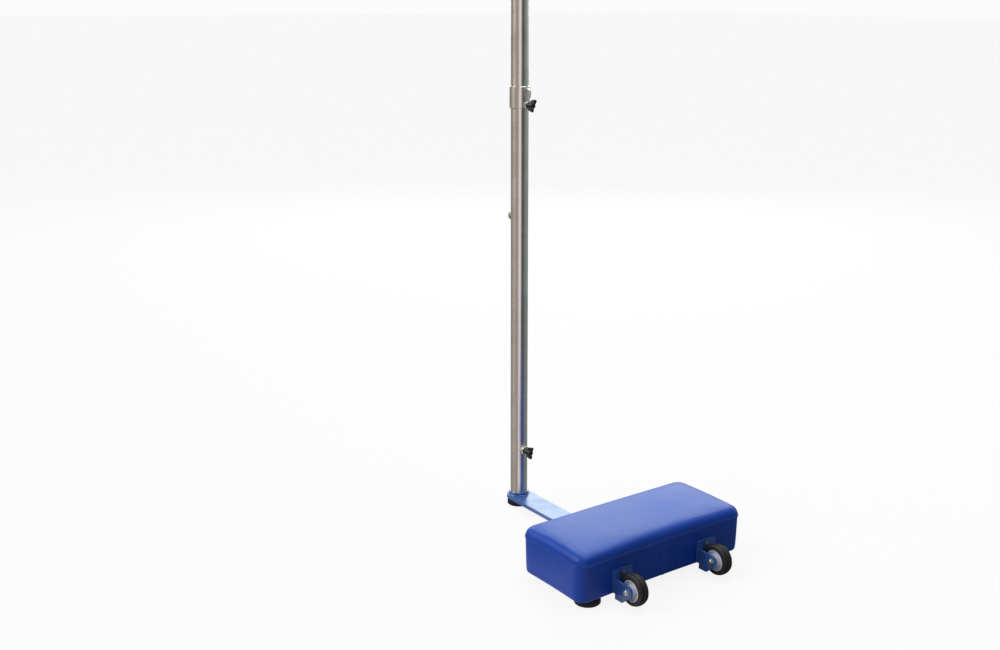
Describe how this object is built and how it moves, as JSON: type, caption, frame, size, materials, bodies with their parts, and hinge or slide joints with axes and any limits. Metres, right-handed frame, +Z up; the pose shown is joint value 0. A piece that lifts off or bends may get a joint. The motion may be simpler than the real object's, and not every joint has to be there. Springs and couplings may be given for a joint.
{
  "type": "badminton net post",
  "caption": "Free-standing badminton net post: a steel tube on a flat arm, held down by a padded iron counterweight with wheels, with a sliding tension collar and cord pulley.",
  "frame": {"origin": "on the floor, on the axis of the post tube, at the centre of the post foot's underside", "axes": "+Z up along the post; +X from the post along the arm to the counterweight, away from the court; +Y along the counterweight block"},
  "size_m": [0.7085, 0.5124, 1.5525],
  "materials": {
    "blue_paint": "gloss enamel",
    "polished_steel": "polished stainless",
    "plain_steel": "turned, bare",
    "zinc_steel": "zinc plated",
    "iron": "as cast, primed",
    "board": "plywood",
    "foam": "closed cell foam",
    "vinyl": "coated cloth, low sheen",
    "black_rubber": "moulded",
    "tyre_rubber": "matt",
    "rim": "cast, satin",
    "white_nylon": "moulded",
    "black_plastic": "moulded, fine grain"
  },
  "bodies": {
    "base": {"base_arm": "blue_paint", "spigot": "plain_steel", "spigot_ring": "blue_paint", "base_weld": "blue_paint", "spigot_nut": "plain_steel", "base_board": "board", "weight_plate_1": "iron", "weight_plate_2": "iron", "weight_plate_3": "iron", "weight_bolts": "zinc_steel", "weight_washers": "zinc_steel", "weight_nuts": "zinc_steel", "foam_jacket": "foam", "vinyl_cover": "vinyl", "cover_welt": "vinyl", "post_foot": "black_rubber", "outer_foot_left": "black_rubber", "outer_foot_right": "black_rubber", "foot_studs": "zinc_steel", "wheel_bracket_left": "blue_paint", "wheel_bracket_right": "blue_paint", "bracket_screws": "zinc_steel", "bracket_spacers": "plain_steel", "axle_bolt_left": "zinc_steel", "axle_bolt_right": "zinc_steel", "axle_nuts": "zinc_steel", "axle_washers": "zinc_steel"},
    "post": {"post_tube": "polished_steel", "lock_boss": "polished_steel", "top_cap": "black_plastic", "pulley_pin": "zinc_steel", "pulley_clip": "zinc_steel", "net_stud": "polished_steel", "net_stud_screw": "zinc_steel", "net_stud_insert": "plain_steel"},
    "pulley": {"top_pulley": "white_nylon", "pulley_bush": "plain_steel"},
    "collar": {"collar_sleeve": "polished_steel", "collar_liner": "white_nylon", "collar_boss": "polished_steel", "cord_hook": "polished_steel"},
    "tension_shank": {"tension_screw": "zinc_steel"},
    "tension_knob": {"tension_wing": "black_plastic"},
    "lock_shank": {"lock_screw": "zinc_steel"},
    "lock_knob": {"lock_wing": "black_plastic"},
    "wheel_left": {"wheel_hub_left": "rim", "wheel_bush_left": "white_nylon", "wheel_tyre_left": "tyre_rubber"},
    "wheel_right": {"wheel_hub_right": "rim", "wheel_bush_right": "white_nylon", "wheel_tyre_right": "tyre_rubber"}
  },
  "joints": [
    {"name": "post_lift", "type": "slide", "parent": "base", "child": "post", "axis": [0, 0, 1], "range_m": [0, 0.19]},
    {"name": "collar_slide", "type": "slide", "parent": "post", "child": "collar", "axis": [0, 0, 1], "range_m": [-0.25, 0.34]},
    {"name": "tension_travel", "type": "slide", "parent": "collar", "child": "tension_shank", "axis": [1, 0, 0], "range_m": [0, 0.0026]},
    {"name": "tension_turn", "type": "hinge", "parent": "tension_shank", "child": "tension_knob", "pos_m": [0.045, 0, 1.0765], "axis": [1, 0, 0], "range_deg": [0, 720]},
    {"name": "lock_travel", "type": "slide", "parent": "post", "child": "lock_shank", "axis": [1, 0, 0], "range_m": [0, 0.0026]},
    {"name": "lock_turn", "type": "hinge", "parent": "lock_shank", "child": "lock_knob", "pos_m": [0.045, 0, 0.16], "axis": [1, 0, 0], "range_deg": [0, 720]},
    {"name": "pulley_spin", "type": "hinge", "parent": "post", "child": "pulley", "pos_m": [0.008, 0, 1.532], "axis": [0, 1, 0], "continuous": true},
    {"name": "wheel_left_spin", "type": "hinge", "parent": "base", "child": "wheel_left", "pos_m": [0.634, 0.132, 0.041], "axis": [0, 1, 0], "continuous": true},
    {"name": "wheel_right_spin", "type": "hinge", "parent": "base", "child": "wheel_right", "pos_m": [0.634, -0.132, 0.041], "axis": [0, 1, 0], "continuous": true}
  ],
  "couplings": [
    {"joint": "tension_travel", "follows": "tension_turn", "m_per_rad": 0.00019894},
    {"joint": "lock_travel", "follows": "lock_turn", "m_per_rad": 0.00019894}
  ]
}
